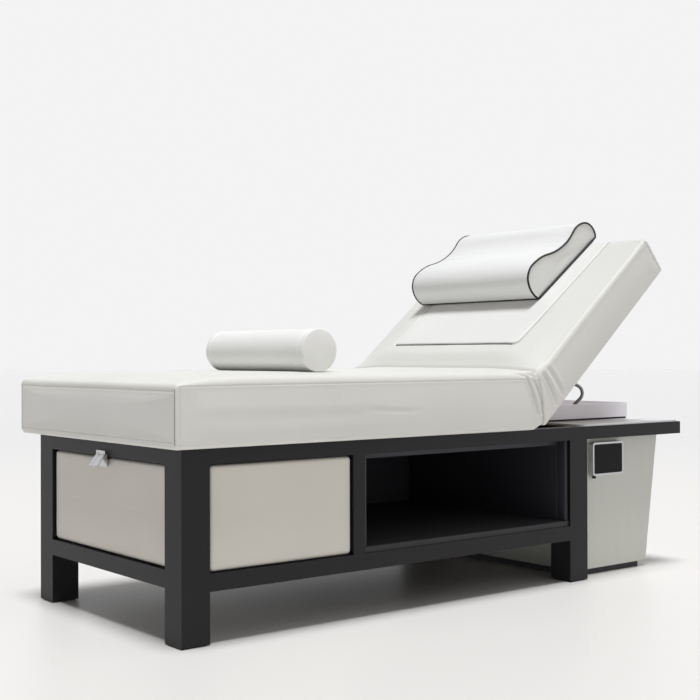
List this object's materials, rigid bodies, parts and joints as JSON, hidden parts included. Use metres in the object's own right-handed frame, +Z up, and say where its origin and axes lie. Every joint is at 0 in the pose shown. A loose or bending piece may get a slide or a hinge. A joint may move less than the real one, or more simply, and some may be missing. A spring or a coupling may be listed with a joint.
{
  "type": "massage table",
  "caption": "Upholstered massage and head-spa bed with raised hinged backrest, lift-out head insert over a basin, wave pillow, bolster, drawer and open shelf.",
  "frame": {"origin": "on the floor, under the middle of the whole bed's bounding box", "axes": "+X from the foot end to the head end, -Y the near side with the control panel, +Z up"},
  "size_m": [1.975, 0.89, 1.1478],
  "materials": {
    "frame_black": "satin black powder coat",
    "board_black": "black laminated board",
    "plywood": "bare plywood",
    "leather_white": "white upholstery leather",
    "leather_insert": "white upholstery leather",
    "leather_pillow": "white upholstery leather with black piping",
    "leather_panel": "white upholstery leather",
    "steel": "zinc plated",
    "chrome": "polished",
    "rubber_black": "matt black",
    "basin_white": "gloss white",
    "deck_white": "white lacquer",
    "cabinet_white": "off-white laminated board",
    "drawer_board": "grey melamine board",
    "plastic_grey": "matt grey",
    "panel_metal": "satin",
    "screen": "gloss black"
  },
  "bodies": {
    "frame": {"near_foot_leg": "frame_black", "far_foot_leg": "frame_black", "near_head_leg": "frame_black", "far_head_leg": "frame_black", "leg_glides": "rubber_black", "near_top_rail": "frame_black", "far_top_rail": "frame_black", "foot_top_rail": "frame_black", "head_top_rail": "frame_black", "hinge_crossbar": "frame_black", "top_crossbars": "frame_black", "near_lower_rail": "frame_black", "far_lower_rail": "frame_black", "foot_lower_rail": "frame_black", "lower_crossbars": "frame_black", "mid_posts": "frame_black", "side_panel_boards": "board_black", "side_panel_pads": "leather_panel", "shelf_board": "board_black", "carcass_back": "board_black", "carcass_sides": "board_black", "carcass_top": "board_black", "seat_cushion": "leather_white", "seat_board": "plywood", "ratchet_cases": "steel", "hinge_pins": "steel", "runner_boards": "board_black", "outer_runners": "steel", "deck_plate": "deck_white", "basin": "basin_white", "basin_gasket": "rubber_black", "basin_strainer": "steel", "waste_trap": "plastic_grey", "spout_base": "chrome", "supply_pump": "plastic_grey", "supply_pipe": "plastic_grey", "cabinet_shell": "cabinet_white", "cabinet_plinth": "board_black", "panel_housing": "panel_metal", "panel_bezel": "panel_metal", "panel_screen": "screen", "panel_screws": "steel"},
    "drawer": {"drawer_front_board": "drawer_board", "drawer_front_pad": "leather_panel", "drawer_box": "drawer_board", "drawer_pull": "chrome", "inner_runners": "steel"},
    "runner_mid": {"mid_runners": "steel"},
    "backrest": {"back_cushion": "leather_white", "back_board": "plywood", "insert_ledges": "steel", "ratchet_arms": "steel", "back_buffers": "rubber_black"},
    "head_insert": {"insert_pad": "leather_insert", "insert_board": "plywood"},
    "pillow": {"pillow": "leather_pillow"},
    "bolster": {"bolster": "leather_white"},
    "spout": {"spout_tube": "chrome", "spout_nozzle": "rubber_black"},
    "power_button": {"power_button": "rubber_black"}
  },
  "joints": [
    {"name": "backrest_tilt", "type": "hinge", "parent": "frame", "child": "backrest", "pos_m": [0.3035, 0, 0.482], "axis": [0, -1, 0], "range_deg": [-41, 4]},
    {"name": "insert_lift", "type": "slide", "parent": "backrest", "child": "head_insert", "axis": [-0.6561, 0, 0.7547], "range_m": [0, 0.15]},
    {"name": "pillow_lift", "type": "slide", "parent": "head_insert", "child": "pillow", "axis": [-0.6561, 0, 0.7547], "range_m": [0, 0.2]},
    {"name": "bolster_lift", "type": "slide", "parent": "frame", "child": "bolster", "axis": [0, 0, 1], "range_m": [0, 0.3]},
    {"name": "drawer_slide", "type": "slide", "parent": "frame", "child": "drawer", "axis": [-1, 0, 0], "range_m": [0, 0.38]},
    {"name": "runner_mid_slide", "type": "slide", "parent": "frame", "child": "runner_mid", "axis": [-1, 0, 0], "range_m": [0, 0.19]},
    {"name": "spout_swivel", "type": "hinge", "parent": "frame", "child": "spout", "pos_m": [0.6785, -0.18, 0.52], "axis": [0, 0, 1], "range_deg": [-72, 38]},
    {"name": "power_button_press", "type": "slide", "parent": "frame", "child": "power_button", "axis": [0, 0, 1], "range_m": [0, 0.002], "stiffness_N_per_m": 400}
  ],
  "couplings": [
    {"joint": "runner_mid_slide", "follows": "drawer_slide", "ratio": 0.5}
  ]
}
